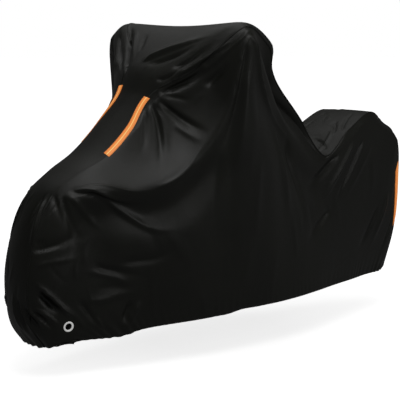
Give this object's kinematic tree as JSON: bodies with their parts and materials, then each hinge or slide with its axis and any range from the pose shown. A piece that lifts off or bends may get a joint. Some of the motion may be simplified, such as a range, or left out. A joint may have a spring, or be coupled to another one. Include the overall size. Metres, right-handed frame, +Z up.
{
  "type": "motorcycle cover",
  "caption": "Fitted motorcycle cover of coated black cloth, hollow and open at the hem, with orange reflective strips and metal lock eyelets.",
  "frame": {"origin": "under the middle of the cover's box, level with its lowest hem", "axes": "+Z up, +X from the front wheel end to the tail, -Y the side on which the rider's left hand lies"},
  "size_m": [1.986, 0.7312, 1.1352],
  "materials": {
    "coated_cloth": "black coated polyester, slightly glossy",
    "reflective_tape": "orange reflective tape, satin",
    "eyelet_metal": "bright plated metal"
  },
  "bodies": {
    "root": {"centre_panel": "coated_cloth", "left_side_panel": "coated_cloth", "right_side_panel": "coated_cloth", "eyelet_patch_left": "coated_cloth", "eyelet_patch_right": "coated_cloth", "front_strip_left": "reflective_tape", "front_strip_right": "reflective_tape", "rear_strip_left": "reflective_tape", "rear_strip_right": "reflective_tape", "eyelet_ring_left": "eyelet_metal", "eyelet_ring_right": "eyelet_metal"}
  },
  "joints": []
}
